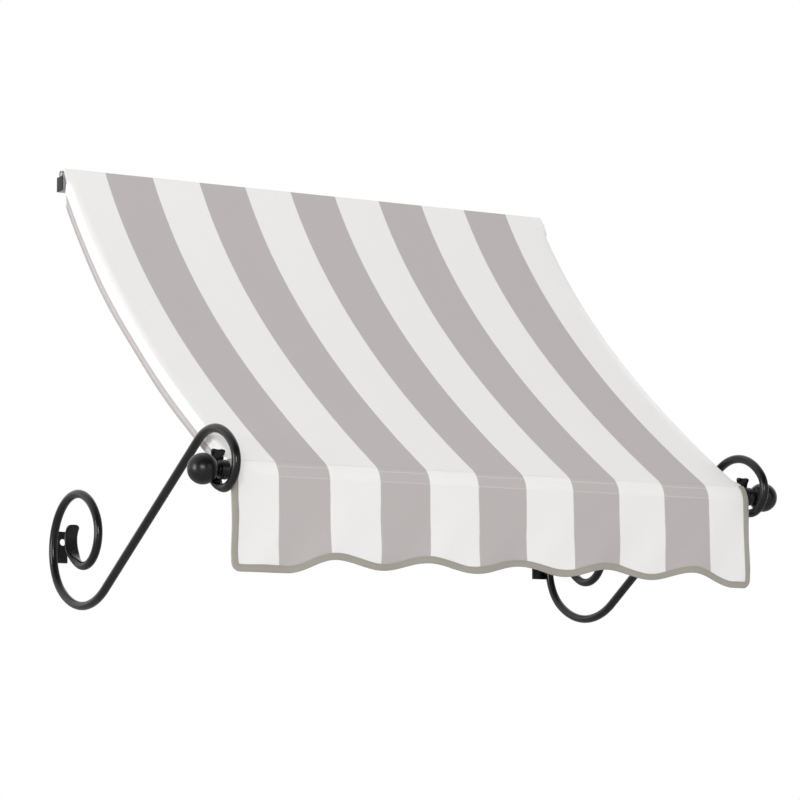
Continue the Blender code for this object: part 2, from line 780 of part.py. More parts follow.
CLOTH_WHITE = make_material("cloth_white", (0.82, 0.81, 0.80), 0.9)
CLOTH_GREY = make_material("cloth_grey", (0.48, 0.45, 0.44), 0.9)
BINDING = make_material("binding_tape", (0.33, 0.32, 0.28), 0.85)
WELT = make_material("welt", (0.75, 0.74, 0.72), 0.8)
ALUMINIUM = make_material("aluminium", (0.62, 0.62, 0.64), 0.35, 1.0)
BLACK_METAL = make_material("black_metal", (0.02, 0.02, 0.022), 0.4)
BLACK_PLASTIC = make_material("black_plastic", (0.03, 0.03, 0.03), 0.5)

add_head_rail()
add_rail_caps()
add_welt()
add_cover()
add_front_bar()
add_bar_sleeve()
add_valance()
add_binding()
add_bar_ends()
add_arms()
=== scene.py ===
"""Dressed model of a fixed window awning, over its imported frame.

Units are metres. +X runs along the wall, +Y points into the wall, +Z is up, and the wall is the plane Y = 0.
"""

import math

import bmesh
import bpy
from mathutils import Matrix, Vector, noise


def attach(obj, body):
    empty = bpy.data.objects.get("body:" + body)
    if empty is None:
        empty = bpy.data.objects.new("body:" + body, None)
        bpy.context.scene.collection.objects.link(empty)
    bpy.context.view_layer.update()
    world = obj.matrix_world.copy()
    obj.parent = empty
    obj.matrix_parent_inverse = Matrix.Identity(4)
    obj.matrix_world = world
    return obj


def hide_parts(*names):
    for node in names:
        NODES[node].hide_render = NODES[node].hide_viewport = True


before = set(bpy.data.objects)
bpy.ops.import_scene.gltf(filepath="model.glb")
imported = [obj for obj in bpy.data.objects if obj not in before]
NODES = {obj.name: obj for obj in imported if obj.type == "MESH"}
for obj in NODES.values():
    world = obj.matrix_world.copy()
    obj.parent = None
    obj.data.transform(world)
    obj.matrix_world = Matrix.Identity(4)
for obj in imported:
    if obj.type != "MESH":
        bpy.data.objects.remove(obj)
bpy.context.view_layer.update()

# Sizes of the cloth, as in the solids
STRIPE = 0.096
COVER_HALF = 0.506
SIDE_FOLD = 0.0095
SIDE_RETURN = 0.027
NOTCH_SHARE = 0.11
NOTCH_LENGTH = 0.045
CLOTH = 0.0009
CLOTH_IN_SOLIDS = 0.001
VALANCE_HALF = 0.518
VALANCE_DROP = 0.150
WAVE_PERIOD = 0.180
WAVE_RISE = 0.024
WAVE_DIP = 0.009
WAVE_SHIFT = 0.033
VALANCE_CORNER = 0.013
BINDING_WIDTH = 0.0105
BEND_RADIUS = 0.040
BAR_TOUCH_ANGLE = 27.0
VALANCE_TOP_ANGLE = 49.0
STITCH_ROWS = (0.0110, 0.0293)
SLEEVE_MARGIN = 0.012
SLEEVE_FLAP = 0.010
SLEEVE_START_ANGLE = 39.0
SLEEVE_END_ANGLE = -88.0
COVER_TOP_ANGLE = 31.0
COVER_FOOT_ANGLE = 57.0

# How the cloth lies: where the side folds begin and end, and how far the cloth strays from its plain shape
FOLD_BEGINS = 0.034
FOLD_GROWS = 0.028
FOLD_ENDS = 0.026
FOLD_SHRINKS = 0.022
FOLD_DEPTH_SHARE = 0.64
LEAST_TURN = 0.03
LEAST_RETURN = 0.0009
RAIL_CLEARANCE = 0.0022
COVER_RIPPLE = 0.0011
COVER_DISH = 0.0016
RETURN_SWAY = 0.0011
VALANCE_BILLOW = 0.0022
VALANCE_FLUTTER = 0.0012
VALANCE_LEAN = 0.0010
VALANCE_SWAY = 0.0012

# Tape, hems and thread
TAPE_THICKNESS = 0.0008
TAPE_GAP = 0.00015
TAPE_WANDER = 0.0018
HEM_THICKNESS = 0.0007
HEM_LIFT = 0.00115
SLEEVE_THICKNESS = 0.0008
SEAM_PITCH = 0.0056
SEAM_STITCH = 0.0008
SEAM_THREAD = 0.00115
SEAM_MARGIN = 0.013
HEM_PITCH = 0.0042
HEM_STITCH = 0.0029
HEM_THREAD = 0.00034

# Sizes of the rail, bar and arms, as in the solids
RAIL_DEPTH = 0.0245
RAIL_HALF_HEIGHT = 0.01325
CHANNEL_CENTRE = Vector((-0.012, 0.01825))
CHANNEL_OUTER = 0.0065
SLOT_ANGLE = 100.0
CLOTH_BEND = 0.003
WELT_RADIUS = 0.0042
GAP = 0.0003
BAR_CENTRE = Vector((-0.641, -0.571))
BAR_RADIUS = 0.0095
BAR_HALF = 0.517
SPIGOT_RADIUS = 0.0085
SPIGOT_SHOWN = 0.003
HUB_RADIUS = 0.016
HUB_LENGTH = 0.014
NECK_RADIUS = 0.009
NECK_LENGTH = 0.0045
BALL_RADIUS = 0.0256
ARM_X = 0.5285
ARM_SLOPE = 33.3
ROD_RADIUS = 0.0075
FRONT_BENDS = ((0.0130, 65.0), (0.0405, 166.5), (0.0920, 84.0))
WALL_BENDS = ((0.1490, 69.5), (0.0930, 202.5), (0.0545, 199.5), (0.0280, 54.0))
STRAP_LENGTH = 0.0444
STRAP_TIP_RISE = 0.0314
FLAT_RUN = 0.050
TAPER_LENGTH = 0.038
FLAT_THICKNESS = 0.0045
FLAT_WIDTH = 0.022
FISHTAIL_WIDTH = 0.026
FISHTAIL_LENGTH = 0.014
FISHTAIL_CORNER = 0.006
KNOB = 0.0020
KNOB_RUN = 0.010
TIP_DIP = 0.0010
TIP_DIP_RUN = 0.012
TIP_ROUND = 0.0014
BLADE_WIDTH = 0.024
BLADE_CORNER = 0.008
PLATE_THICKNESS = 0.005
WELD_RADIUS = 0.0019
WELD_BELOW = 0.014
WELD_ABOVE = 0.020

# Fineness of the meshes
LIP_STEPS = 10
SAG_STEPS = 110
WRAP_STEPS = 12
COVER_COLUMNS = 84
FOLD_COLUMNS = 9
RETURN_COLUMNS = 7
VALANCE_ROWS = 46
VALANCE_BEND_ROWS = 12
SLEEVE_COLUMNS = 121
ARM_SIDES = 28
STRAIGHT_STEPS = 60

# Light and view
WORLD_LIGHT = 0.72
FRONT_GLOSS = 0.05
FLOOR_SIZE = 30.0
FLOOR_HEIGHT = -1.50
FLOOR_GREY = (0.58, 0.58, 0.58, 1.0)
FLOOR_SEEN = 0.45
MIDDLE = Vector((0.0, -0.35, -0.38))
CAMERA_PLACE = (-2.9457, -5.1380, -1.0821)
CAMERA_YAW = 31.36
CAMERA_PITCH = 6.95
CAMERA_ROLL = -0.41
PICTURE_PIXELS = 800.0
FOCAL_PIXELS = 3195.0
SHIFT_PIXELS = 6.5

SLEEVE_RADIUS = BAR_RADIUS + GAP + CLOTH_IN_SOLIDS / 2
WRAP_RADIUS = SLEEVE_RADIUS + CLOTH_IN_SOLIDS + GAP
BEND_LENGTH = math.radians(VALANCE_TOP_ANGLE) * BEND_RADIUS
TOUCH = math.radians(BAR_TOUCH_ANGLE)
BEND_CENTRE = BAR_CENTRE + Vector((math.cos(TOUCH), -math.sin(TOUCH))) * (BEND_RADIUS - WRAP_RADIUS)
SIDES = ((-1.0, "left"), (1.0, "right"))


# Materials


def plug(tree, socket, value):
    """Links another node's output to the socket, or sets the socket's own value."""
    if isinstance(value, bpy.types.NodeSocket):
        tree.links.new(value, socket)
    else:
        socket.default_value = value


class Nodes:
    """Short calls for building one material's nodes."""

    def __init__(self, name):
        self.material = bpy.data.materials.new(name)
        self.material.use_nodes = True
        self.tree = self.material.node_tree
        self.shader = self.tree.nodes["Principled BSDF"]

    def set(self, **values):
        for name, value in values.items():
            self.shader.inputs[name.replace("_", " ")].default_value = value
        return self

    def feed(self, name, socket):
        self.tree.links.new(socket, self.shader.inputs[name])

    def add(self, kind, inputs=(), **settings):
        item = self.tree.nodes.new(kind)
        for name, value in settings.items():
            setattr(item, name, value)
        for key, value in dict(inputs).items():
            plug(self.tree, item.inputs[key], value)
        return item

    def math(self, operation, first, second=0.0):
        item = self.add("ShaderNodeMath", {0: first, 1: second}, operation=operation)
        return item.outputs[0]

    def smoothstep(self, value, low, high, to_low=0.0, to_high=1.0):
        inputs = {"Value": value, "From Min": low, "From Max": high, "To Min": to_low, "To Max": to_high}
        item = self.add("ShaderNodeMapRange", inputs, interpolation_type="SMOOTHSTEP")
        return item.outputs["Result"]

    def mix(self, factor, first, second, blend_type="MIX"):
        inputs = {0: factor, 6: first, 7: second}
        return self.add("ShaderNodeMix", inputs, data_type="RGBA", blend_type=blend_type).outputs[2]

    def scale_colour(self, colour, amount):
        """A colour made lighter or darker by a number near 1."""
        grey = self.add("ShaderNodeCombineColor", {0: amount, 1: amount, 2: amount}).outputs[0]
        return self.mix(1.0, colour, grey, "MULTIPLY")

    def noise(self, vector, scale, detail=2.0, roughness=0.5):
        inputs = {"Vector": vector, "Scale": scale, "Detail": detail, "Roughness": roughness}
        return self.add("ShaderNodeTexNoise", inputs).outputs["Fac"]

    def waves(self, vector, scale, distortion, direction):
        inputs = {"Vector": vector, "Scale": scale, "Distortion": distortion}
        return self.add("ShaderNodeTexWave", inputs, bands_direction=direction).outputs["Fac"]

    def stretched(self, vector, scales):
        return self.add("ShaderNodeMapping", {"Vector": vector, "Scale": scales}).outputs[0]

    def object_coordinates(self):
        return self.add("ShaderNodeTexCoord").outputs["Object"]

    def bump(self, height, distance, strength=1.0, normal=None):
        inputs = {"Height": height, "Distance": distance, "Strength": strength}
        if normal is not None:
            inputs["Normal"] = normal
        return self.add("ShaderNodeBump", inputs).outputs["Normal"]


def weave_height(n, u, v, pitch_u, pitch_v):
    """Height of a plain weave from 0 to 1: warp threads along v pass over and under weft threads along u."""
    across = n.math("MULTIPLY", u, math.pi / pitch_u)
    along = n.math("MULTIPLY", v, math.pi / pitch_v)
    sin_u = n.math("SINE", across)
    cos_u = n.math("COSINE", across)
    sin_v = n.math("SINE", along)
    cos_v = n.math("COSINE", along)
    warp = n.math("ADD", n.math("ABSOLUTE", sin_u), n.math("MULTIPLY", sin_u, cos_v))
    weft = n.math("SUBTRACT", n.math("ABSOLUTE", sin_v), n.math("MULTIPLY", sin_v, cos_u))
    return n.math("MULTIPLY", n.math("MAXIMUM", warp, weft), 0.5)


def cloth_coordinates(n):
    uv = n.add("ShaderNodeUVMap", uv_map="cloth").outputs["UV"]
    split = n.add("ShaderNodeSeparateXYZ", {"Vector": uv})
    return uv, split.outputs["X"], split.outputs["Y"]


def cloth_material(name, white, grey=None, pitches=(0.0006, 0.0007)):
    """Woven outdoor cloth, with UVs in metres so that stripes and yarns have their real size."""
    n = Nodes(name)
    uv, u, v = cloth_coordinates(n)
    if grey is None:
        colour = white
    else:
        drift = n.noise(uv, 60.0, 1.0)
        shifted = n.math("ADD", u, n.math("MULTIPLY", n.math("SUBTRACT", drift, 0.5), 0.0008))
        wave = n.math("COSINE", n.math("MULTIPLY", shifted, math.pi / STRIPE))
        colour = n.mix(n.smoothstep(wave, -0.012, 0.012), white, grey)
    weave = weave_height(n, u, v, *pitches)
    mottle = n.noise(uv, 9.0, 3.0, 0.6)
    slub = n.noise(n.stretched(uv, (900.0, 40.0, 1.0)), 1.0)
    # Painted shade: the yarn colour is darker where the weave is low, in the hollows between yarns. The
    # mottle and slub below are random tone.
    level = n.math("ADD", n.smoothstep(weave, 0.25, 0.95, 0.955, 1.01), -0.015)
    level = n.math("ADD", level, n.math("MULTIPLY", mottle, 0.022))
    level = n.math("ADD", level, n.math("MULTIPLY", slub, 0.02))
    n.feed("Base Color", n.scale_colour(colour, level))
    crease = n.bump(n.noise(uv, 22.0, 2.0, 0.45), 0.0009, 0.35)
    n.feed("Normal", n.bump(weave, 0.00006, 0.55, crease))
    n.feed("Roughness", n.smoothstep(weave, 0.2, 1.0, 0.92, 0.82))
    return n.set(Specular_IOR_Level=0.25, Sheen_Weight=0.12, Sheen_Roughness=0.5).material


def thread_material(name, colour):
    """Twisted sewing thread."""
    n = Nodes(name)
    twist = n.waves(n.object_coordinates(), 700.0, 0.6, "DIAGONAL")
    # Painted shade: the thread's colour is darker in the grooves of its twist, where the bump is low.
    n.feed("Base Color", n.scale_colour(colour, n.smoothstep(twist, 0.0, 1.0, 0.93, 1.02)))
    n.feed("Normal", n.bump(twist, 0.0001, 0.5))
    return n.set(Roughness=0.6, Sheen_Weight=0.1).material


def powder_coat(name, colour, rough, grain):
    """Satin powder coat over steel: fine orange peel, a little wear in the gloss, soft highlights."""
    n = Nodes(name)
    place = n.object_coordinates()
    peel = n.noise(place, 620.0, 2.0, 0.55)
    hammer = n.noise(place, 90.0, 2.0, 0.4)
    cloud = n.noise(place, 14.0, 3.0, 0.6)
    n.feed("Base Color", n.scale_colour(colour, n.smoothstep(cloud, 0.3, 0.75, 0.8, 1.25)))
    rub = n.smoothstep(n.noise(place, 45.0, 4.0, 0.65), 0.3, 0.8, rough - 0.04, rough + 0.07)
    n.feed("Roughness", rub)
    soft = n.bump(hammer, 0.0006 * grain, 0.3)
    n.feed("Normal", n.bump(peel, 0.00012 * grain, 0.4, soft))
    return n.set(Specular_IOR_Level=0.38).material


def plastic_material(name, colour):
    """Moulded matt plastic with a fine spark-eroded grain."""
    n = Nodes(name)
    place = n.object_coordinates()
    grain = n.noise(place, 1500.0, 1.0)
    cloud = n.noise(place, 60.0, 2.0)
    n.feed("Base Color", n.scale_colour(colour, n.smoothstep(cloud, 0.3, 0.7, 0.85, 1.15)))
    n.feed("Normal", n.bump(grain, 0.00015, 0.5))
    return n.set(Roughness=0.5, Specular_IOR_Level=0.4).material


def extruded_aluminium(name, colour, rough):
    """Extruded aluminium: die lines along X, light handling marks."""
    n = Nodes(name)
    place = n.object_coordinates()
    fine = n.noise(n.stretched(place, (1.5, 2200.0, 2200.0)), 1.0, 3.0, 0.6)
    cloud = n.noise(place, 26.0, 4.0, 0.6)
    n.feed("Base Color", n.scale_colour(colour, n.smoothstep(fine, 0.25, 0.75, 0.9, 1.06)))
    level = n.smoothstep(fine, 0.2, 0.8, rough - 0.06, rough + 0.05)
    n.feed("Roughness", n.math("ADD", level, n.math("MULTIPLY", cloud, 0.06)))
    n.feed("Normal", n.bump(fine, 0.00005, 0.35))
    return n.set(Metallic=1.0).material


def turned_aluminium(name, colour, rough):
    """Machined aluminium: fine rings about the bar's axis."""
    n = Nodes(name)
    place = n.object_coordinates()
    rings = n.waves(place, 900.0, 0.4, "X")
    n.feed("Base Color", n.scale_colour(colour, n.smoothstep(rings, 0.0, 1.0, 0.93, 1.04)))
    n.feed("Roughness", n.smoothstep(n.noise(place, 80.0, 3.0), 0.3, 0.7, rough - 0.05, rough + 0.06))
    n.feed("Normal", n.bump(rings, 0.00003, 0.4))
    return n.set(Metallic=1.0).material


WHITE = (0.80, 0.79, 0.785, 1.0)
GREY = (0.465, 0.435, 0.430, 1.0)
COAT = (0.005, 0.005, 0.0053, 1.0)
STRIPED = cloth_material("striped_cloth", WHITE, GREY)
PLAIN = cloth_material("white_cloth", WHITE)
TAPE = cloth_material("binding_tape", (0.345, 0.325, 0.285, 1.0), pitches=(0.0007, 0.0016))
THREAD = thread_material("white_thread", (0.86, 0.86, 0.85, 1.0))
TAPE_THREAD = thread_material("tape_thread", (0.31, 0.295, 0.26, 1.0))
BLACK = powder_coat("black_coat", COAT, 0.22, 0.3)
BLACK_SMOOTH = powder_coat("black_coat_smooth", COAT, 0.30, 0.1)
CAP_BLACK = plastic_material("cap_plastic", (0.013, 0.013, 0.0135, 1.0))
RAIL_METAL = extruded_aluminium("rail_aluminium", (0.60, 0.60, 0.62, 1.0), 0.36)
TUBE_METAL = extruded_aluminium("tube_aluminium", (0.62, 0.62, 0.64, 1.0), 0.3)
SPIGOT_METAL = turned_aluminium("spigot_aluminium", (0.62, 0.62, 0.64, 1.0), 0.28)


# Mesh helpers


def add_object(name, mesh, material):
    item = bpy.data.objects.new(name, mesh)
    bpy.context.scene.collection.objects.link(item)
    mesh.materials.append(material)
    return item


def smooth(mesh, angle=35.0):
    mesh.shade_smooth()
    mesh.set_sharp_from_angle(angle=math.radians(angle))


def on_circle(centre, radius, degrees):
    angle = math.radians(degrees)
    return Vector((centre[0] + radius * math.cos(angle), centre[1] + radius * math.sin(angle)))


def arc(centre, radius, start, end, steps):
    return [on_circle(centre, radius, start + (end - start) * i / steps) for i in range(steps + 1)]


def blend(a, b, t):
    t = min(max(t, 0.0), 1.0)
    t = t * t * (3 - 2 * t)
    return a + (b - a) * t


def set_uvs(mesh, flat_at):
    """Gives each point of a cloth its place on the flat cloth, in metres."""
    layer = mesh.uv_layers.new(name="cloth")
    for loop in mesh.loops:
        layer.data[loop.index].uv = flat_at(loop.vertex_index)


def face_outwards(mesh, merge=0.0):
    """Turns all faces of a skin outwards; points closer than the merge distance become one."""
    work = bmesh.new()
    work.from_mesh(mesh)
    if merge:
        bmesh.ops.remove_doubles(work, verts=work.verts, dist=merge)
    bmesh.ops.recalc_face_normals(work, faces=work.faces)
    work.to_mesh(mesh)
    work.free()


def outward(direction):
    """The cloth's outer side, for cloth that runs from the wall down and out."""
    return Vector((direction[1], -direction[0]))


def grid(name, columns, rows, place, flat, material, thickness=CLOTH):
    """A sheet of cloth from place(column, row) -> point and flat(column, row) -> metres on the flat cloth."""
    points = [place(c, r) for r in range(rows) for c in range(columns)]
    faces = []
    for r in range(rows - 1):
        for c in range(columns - 1):
            first = r * columns + c
            faces.append((first, first + 1, first + columns + 1, first + columns))
    mesh = bpy.data.meshes.new(name)
    mesh.from_pydata(points, [], faces)
    set_uvs(mesh, lambda index: flat(index % columns, index // columns))
    smooth(mesh, 60.0)
    item = add_object(name, mesh, material)
    shell = item.modifiers.new("Solidify", "SOLIDIFY")
    shell.thickness = thickness
    shell.offset = 0.0
    shell.use_even_offset = True
    apply_modifiers(item)
    return item


def apply_modifiers(item):
    evaluated = item.evaluated_get(bpy.context.evaluated_depsgraph_get())
    mesh = bpy.data.meshes.new_from_object(evaluated)
    item.modifiers.clear()
    old = item.data
    item.data = mesh
    mesh.name = old.name
    bpy.data.meshes.remove(old)


def area_of(points, columns, rows):
    """Area of a grid of points, for the flat size of a sheet."""
    total = 0.0
    for r in range(rows - 1):
        for c in range(columns - 1):
            a = Vector(points(c, r))
            b = Vector(points(c + 1, r))
            d = Vector(points(c, r + 1))
            e = Vector(points(c + 1, r + 1))
            total += ((b - a).cross(d - a)).length / 2 + ((b - e).cross(d - e)).length / 2
    return total


def loft(name, rings, closed_ends=True):
    """A skin through rings of points with the same count each."""
    count = len(rings[0])
    points = [tuple(point) for ring in rings for point in ring]
    faces = []
    for k in range(len(rings) - 1):
        for i in range(count):
            j = (i + 1) % count
            faces.append((k * count + i, k * count + j, (k + 1) * count + j, (k + 1) * count + i))
    if closed_ends:
        faces.append(tuple(range(count)))
        faces.append(tuple(range((len(rings) - 1) * count, len(rings) * count)))
    mesh = bpy.data.meshes.new(name)
    mesh.from_pydata(points, [], faces)
    face_outwards(mesh)
    return mesh


def turned_mesh(name, profile, x, side, steps=72):
    """A piece turned about the bar's axis; its profile is (radius, distance outwards)."""
    rings = []
    for radius, distance in profile:
        ring = []
        for i in range(steps):
            angle = 2 * math.pi * i / steps
            y = BAR_CENTRE[0] + radius * math.cos(angle)
            z = BAR_CENTRE[1] + radius * math.sin(angle)
            ring.append((side * (x + distance), y, z))
        rings.append(ring)
    mesh = loft(name, rings, closed_ends=False)
    face_outwards(mesh, 1e-6)
    smooth(mesh)
    return mesh


def rounded(profile, radius, steps=4):
    """A profile with its inner corners rounded."""
    result = [Vector(profile[0])]
    for triple in zip(profile, profile[1:], profile[2:]):
        before, corner, after = map(Vector, triple)
        reach = min(radius, (before - corner).length / 2.2, (after - corner).length / 2.2)
        start = corner + (before - corner).normalized() * reach
        end = corner + (after - corner).normalized() * reach
        for i in range(steps + 1):
            t = i / steps
            result.append(start * (1 - t) ** 2 + corner * (2 * t * (1 - t)) + end * t ** 2)
    result.append(Vector(profile[-1]))
    return result


def bevelled_copy(node, name, width, material, segments=2, angle=30.0):
    """A CAD node's shape with its edges broken, standing for the node."""
    item = bpy.data.objects.new(name, NODES[node].data.copy())
    bpy.context.scene.collection.objects.link(item)
    item.matrix_world = NODES[node].matrix_world.copy()
    work = bmesh.new()
    work.from_mesh(item.data)
    bmesh.ops.remove_doubles(work, verts=work.verts, dist=1e-5)
    bmesh.ops.dissolve_limit(work, angle_limit=math.radians(1.0), verts=work.verts, edges=work.edges)
    work.to_mesh(item.data)
    work.free()
    item.data.materials.clear()
    item.data.materials.append(material)
    bevel = item.modifiers.new("Bevel", "BEVEL")
    bevel.width = width
    bevel.segments = segments
    bevel.limit_method = "ANGLE"
    bevel.angle_limit = math.radians(angle)
    apply_modifiers(item)
    smooth(item.data, 30.0)
    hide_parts(node)
    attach(item, "root")
    return item


# The cloth


def down_and_out(angle):
    return Vector((-math.sin(math.radians(angle)), -math.cos(math.radians(angle))))


def cover_path():
    """Middle of the cover's cloth: out of the slot, over the channel, down the sag, round its bend."""
    top = down_and_out(COVER_TOP_ANGLE)
    foot = down_and_out(COVER_FOOT_ANGLE)
    path = [on_circle(CHANNEL_CENTRE, WELT_RADIUS + GAP, SLOT_ANGLE)]
    lip = on_circle(CHANNEL_CENTRE, CHANNEL_OUTER + GAP, SLOT_ANGLE)
    centre = on_circle(lip, CLOTH_BEND, SLOT_ANGLE + 90.0)
    path += arc(centre, CLOTH_BEND, SLOT_ANGLE - 90.0, 180.0 - COVER_TOP_ANGLE, LIP_STEPS)
    start = path[-1]
    end = BEND_CENTRE + outward(foot) * BEND_RADIUS
    chord = end - start
    run = (chord[0] * foot[1] - chord[1] * foot[0]) / (top[0] * foot[1] - top[1] * foot[0])
    knee = start + top * run
    for i in range(1, SAG_STEPS + 1):
        t = i / SAG_STEPS
        path.append(start * (1 - t) ** 2 + knee * (2 * t * (1 - t)) + end * t ** 2)
    wrap = arc(BEND_CENTRE, BEND_RADIUS, 180.0 - COVER_FOOT_ANGLE, 180.0 - VALANCE_TOP_ANGLE, WRAP_STEPS)
    return path + wrap[1:]


def distances(path):
    reach = [0.0]
    for a, b in zip(path, path[1:]):
        reach.append(reach[-1] + (b - a).length)
    return reach


COVER_PATH = cover_path()
COVER_REACH = distances(COVER_PATH)
COVER_LENGTH = COVER_REACH[-1]
BAR_REACH = COVER_REACH[-1 - WRAP_STEPS]
RAIL_FACE = -(RAIL_DEPTH + RAIL_CLEARANCE)


def cover_stations():
    """Distances across the flat cloth from its middle: close together round the folds and at the hems."""
    half = COVER_HALF
    inner = [half * (2 * i / COVER_COLUMNS - 1) for i in range(COVER_COLUMNS + 1)]
    side = [half + SIDE_FOLD * (i + 1) / FOLD_COLUMNS for i in range(FOLD_COLUMNS)]
    side += [half + SIDE_FOLD + SIDE_RETURN * (i + 1) / RETURN_COLUMNS for i in range(RETURN_COLUMNS)]
    return [-x for x in reversed(side)] + inner + side


def tangent_at(path, row):
    return (path[min(row + 1, len(path) - 1)] - path[max(row - 1, 0)]).normalized()


def side_shape(row):
    """Turn of the side fold and length of the return at a row, clear of the rail and the bar's end."""
    here = COVER_PATH[row]
    inwards = -outward(tangent_at(COVER_PATH, row))
    room = (RAIL_FACE - here[0]) / max(inwards[0], 0.2)
    if here[1] < -RAIL_HALF_HEIGHT - 0.012:
        room = SIDE_FOLD + SIDE_RETURN
    depth = min(max(room, 0.0), SIDE_FOLD + SIDE_RETURN)
    near_bar = blend(1.0, 0.0, (COVER_REACH[row] - BAR_REACH + FOLD_ENDS) / FOLD_SHRINKS)
    below_rail = blend(0.0, 1.0, (COVER_REACH[row] - FOLD_BEGINS) / FOLD_GROWS)
    turn = below_rail * near_bar
    length = min(max(depth - SIDE_FOLD * FOLD_DEPTH_SHARE, 0.0) * turn, SIDE_RETURN)
    return max(turn, LEAST_TURN), max(length, LEAST_RETURN)


def notched(distance, row):
    """The cloth's corners are cut back where they go into the slot."""
    beyond = abs(distance) - COVER_HALF
    if beyond <= 0:
        return distance
    kept = blend(NOTCH_SHARE, 1.0, COVER_REACH[row] / NOTCH_LENGTH)
    return math.copysign(COVER_HALF + beyond * kept, distance)


def cover_place(distance, row):
    distance = notched(distance, row)
    here = COVER_PATH[row]
    side = outward(tangent_at(COVER_PATH, row))
    beyond = abs(distance) - COVER_HALF
    share = COVER_REACH[row] / COVER_LENGTH
    free = math.sin(math.pi * share)
    wander = math.sin(11.0 * distance + 1.1 + 1.5 * share) * math.cos(3.1 * share + 2.0 * distance)
    ripple = free * (COVER_RIPPLE * wander - COVER_DISH * (1 - (distance / COVER_HALF) ** 2))
    if beyond <= 0:
        spot = here + side * ripple
        return (distance, spot[0], spot[1])
    turn, length = side_shape(row)
    turned = math.radians(90.0 * turn)
    radius = SIDE_FOLD / turned
    angle = turned * min(beyond, SIDE_FOLD) / SIDE_FOLD
    hanging = max(beyond - SIDE_FOLD, 0.0) / SIDE_RETURN * length
    phase = 0.0 if distance > 0 else 2.0
    sway = RETURN_SWAY * free * math.sin(17.0 * share + phase) * min(hanging / SIDE_RETURN, 1.0)
    x = COVER_HALF + radius * math.sin(angle) + hanging * math.cos(angle) + sway
    depth = radius * (1 - math.cos(angle)) + hanging * math.sin(angle)
    spot = here - side * depth
    return (math.copysign(x, distance), spot[0], spot[1])


def add_cover():
    stations = cover_stations()
    rows = len(COVER_PATH)

    def place(column, row):
        return cover_place(stations[column], row)

    def flat(column, row):
        distance = notched(stations[column], row)
        beyond = abs(distance) - COVER_HALF - SIDE_FOLD
        if beyond > 0:
            length = side_shape(row)[1]
            distance = math.copysign(COVER_HALF + SIDE_FOLD + beyond / SIDE_RETURN * length, distance)
        return (distance, COVER_LENGTH - COVER_REACH[row])

    item = grid("cover_cloth", len(stations), rows, place, flat, STRIPED)
    return item, area_of(place, len(stations), rows)


def valance_point(x, drop, out):
    """A point of the valance: drop is measured along the cloth from its top edge, out from its middle."""
    radius = BEND_RADIUS + out
    if drop < BEND_LENGTH:
        angle = 180.0 - VALANCE_TOP_ANGLE + math.degrees(drop / BEND_RADIUS)
        place = on_circle(BEND_CENTRE, radius, angle)
        return Vector((x, place[0], place[1]))
    hang = drop - BEND_LENGTH
    ease = min(max(hang - 0.010, 0.0) / VALANCE_DROP, 1.0)
    billow = VALANCE_BILLOW * ease * math.sin(2 * math.pi * x / 0.235 + 0.6)
    billow += VALANCE_FLUTTER * ease * math.sin(2 * math.pi * x / 0.107 + 2.0 + 6.0 * ease)
    billow -= VALANCE_LEAN * ease
    sideways = VALANCE_SWAY * ease * math.sin(2 * math.pi * x / 0.41 + 9.0 * ease)
    return Vector((x + sideways, BEND_CENTRE[0] - radius + billow, BEND_CENTRE[1] - hang))


def valance_edge(x):
    """Length of the valance at x: level at both ends, waved between them."""
    longest = BEND_LENGTH + VALANCE_DROP
    first = WAVE_SHIFT - 2 * WAVE_PERIOD
    last = WAVE_SHIFT + 2 * WAVE_PERIOD
    if first <= x <= last:
        phase = math.cos(2 * math.pi * (x - first) / WAVE_PERIOD)
        return longest - WAVE_RISE + (WAVE_RISE - WAVE_DIP) * (1 - phase) / 2
    beyond = first - x if x < first else x - last
    t = min(beyond / (WAVE_PERIOD / 2), 1.0)
    return longest - WAVE_RISE * (1 + math.cos(math.pi * t)) / 2


def valance_end(x):
    """Length of the valance at x with its bottom corners rounded."""
    beyond = abs(x) - (VALANCE_HALF - VALANCE_CORNER)
    if beyond <= 0:
        return valance_edge(x)
    lift = VALANCE_CORNER - math.sqrt(max(VALANCE_CORNER ** 2 - beyond ** 2, 0.0))
    return valance_edge(x) - lift


def valance_stations(steps=160, corner_steps=10):
    half = VALANCE_HALF
    corner = VALANCE_CORNER
    inner = [(half - corner) * (2 * i / steps - 1) for i in range(steps + 1)]
    turns = [math.radians(90.0 * i / corner_steps) for i in range(1, corner_steps + 1)]
    ends = [half - corner + corner * math.sin(turn) for turn in turns]
    return [-x for x in reversed(ends)] + inner + ends


def add_valance():
    stations = valance_stations()

    def drop_at(x, row):
        if row <= VALANCE_BEND_ROWS:
            return BEND_LENGTH * row / VALANCE_BEND_ROWS
        share = (row - VALANCE_BEND_ROWS) / (VALANCE_ROWS - 1 - VALANCE_BEND_ROWS)
        return BEND_LENGTH + (valance_end(x) - BEND_LENGTH) * share

    def place(column, row):
        x = stations[column]
        return valance_point(x, drop_at(x, row), 0.0)

    def flat(column, row):
        x = stations[column]
        return (x, -drop_at(x, row))

    item = grid("valance_cloth", len(stations), VALANCE_ROWS, place, flat, STRIPED)
    return item, area_of(place, len(stations), VALANCE_ROWS)


def binding_edge():
    """The valance's edge as (x, drop) pairs: down the left side, along the bottom, up the right side."""
    half = VALANCE_HALF
    corner_drop = valance_edge(half) - VALANCE_CORNER
    down = [(-half, GAP + (BEND_LENGTH - GAP) * i / 10) for i in range(10)]
    down += [(-half, BEND_LENGTH + (corner_drop - BEND_LENGTH) * i / 44) for i in range(44)]
    edge = [(x, valance_end(x)) for x in valance_stations(240, 12)]
    return down + edge + [(-x, drop) for x, drop in reversed(down)]


